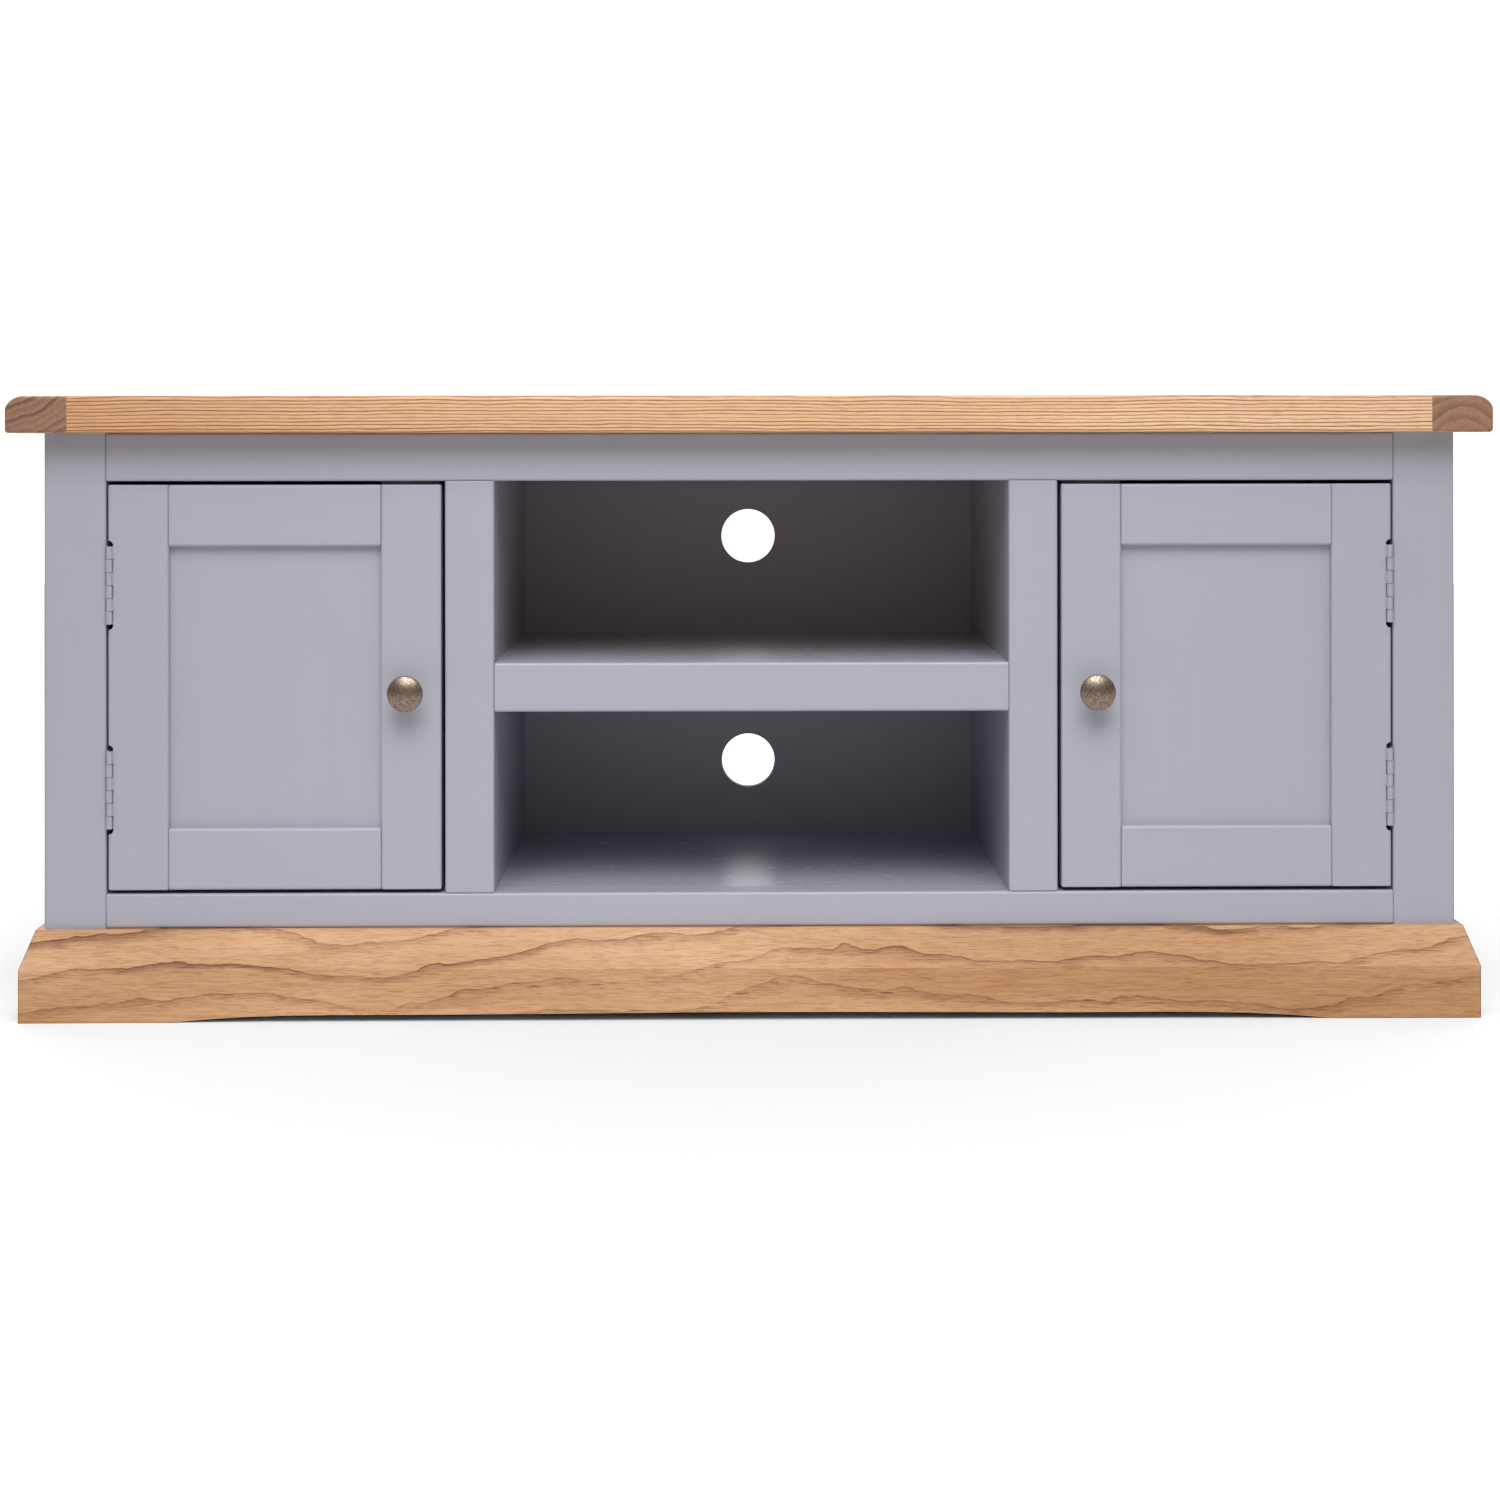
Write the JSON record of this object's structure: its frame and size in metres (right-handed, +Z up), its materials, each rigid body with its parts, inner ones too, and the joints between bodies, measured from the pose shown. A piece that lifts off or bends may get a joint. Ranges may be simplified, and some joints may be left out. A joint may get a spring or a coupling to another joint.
{
  "type": "media cabinet",
  "caption": "Low painted media cabinet with a thick oak top and bevelled oak plinth, hinged shaker doors either side of an open bay with a fixed shelf and cable holes.",
  "frame": {"origin": "on the floor, under the middle of the top; the box is 1200 x 400 x 505 mm", "axes": "+X to the right as seen from the front, +Y from the doors towards the back, +Z up"},
  "size_m": [1.2, 0.4, 0.505],
  "materials": {
    "oak_top": "satin lacquer",
    "oak_end_grain": "satin lacquer",
    "oak_plinth": "satin lacquer",
    "grey_paint": "satin paint",
    "inner_paint": "satin paint",
    "back_paint": "matt paint",
    "bare_pine": "unfinished",
    "painted_hinge": "satin paint",
    "antique_brass": "antique, lightly worn",
    "zinc_screw": "zinc plated",
    "steel_pin": "satin",
    "strike_steel": "nickel plated",
    "magnet_steel": "matt",
    "catch_plastic": "moulded"
  },
  "bodies": {
    "cabinet": {"back_panel": "back_paint", "back_panel_screws": "zinc_screw", "back_post_left": "grey_paint", "back_post_right": "grey_paint", "bottom_rail_front": "grey_paint", "carcass_screws": "zinc_screw", "catch_magnets": "magnet_steel", "fixed_small_screws": "zinc_screw", "floor_panel": "inner_paint", "front_post_left": "grey_paint", "front_post_right": "grey_paint", "hinge_pins": "steel_pin", "left_catch_housing": "catch_plastic", "left_hinge_post_leaves": "painted_hinge", "mid_post_left": "grey_paint", "mid_post_right": "grey_paint", "partition_left": "inner_paint", "partition_right": "inner_paint", "plinth_back": "bare_pine", "plinth_corner_blocks": "bare_pine", "plinth_front": "oak_plinth", "plinth_left": "oak_plinth", "plinth_right": "oak_plinth", "right_catch_housing": "catch_plastic", "right_hinge_post_leaves": "painted_hinge", "shelf_board": "inner_paint", "shelf_rail": "grey_paint", "side_panel_left": "grey_paint", "side_panel_right": "grey_paint", "side_rail_bottom_left": "grey_paint", "side_rail_bottom_right": "grey_paint", "side_rail_top_left": "grey_paint", "side_rail_top_right": "grey_paint", "top_cleats": "bare_pine", "top_end_left": "oak_end_grain", "top_end_right": "oak_end_grain", "top_panel": "oak_top", "top_rail_back": "inner_paint", "top_rail_front": "grey_paint"},
    "left_door": {"left_door_hinge_stile": "grey_paint", "left_door_knob": "antique_brass", "left_door_knob_bolt": "zinc_screw", "left_door_latch_stile": "grey_paint", "left_door_panel": "grey_paint", "left_door_rail_bottom": "grey_paint", "left_door_rail_top": "grey_paint", "left_door_screws": "zinc_screw", "left_door_strike_plate": "strike_steel", "left_hinge_door_leaves": "painted_hinge"},
    "right_door": {"right_door_hinge_stile": "grey_paint", "right_door_knob": "antique_brass", "right_door_knob_bolt": "zinc_screw", "right_door_latch_stile": "grey_paint", "right_door_panel": "grey_paint", "right_door_rail_bottom": "grey_paint", "right_door_rail_top": "grey_paint", "right_door_screws": "zinc_screw", "right_door_strike_plate": "strike_steel", "right_hinge_door_leaves": "painted_hinge"}
  },
  "joints": [
    {"name": "left_door_hinge", "type": "hinge", "parent": "cabinet", "child": "left_door", "pos_m": [-0.52105, -0.176, 0.2685], "axis": [0, 0, -1], "range_deg": [0, 180]},
    {"name": "right_door_hinge", "type": "hinge", "parent": "cabinet", "child": "right_door", "pos_m": [0.52105, -0.176, 0.2685], "axis": [0, 0, 1], "range_deg": [0, 180]}
  ]
}
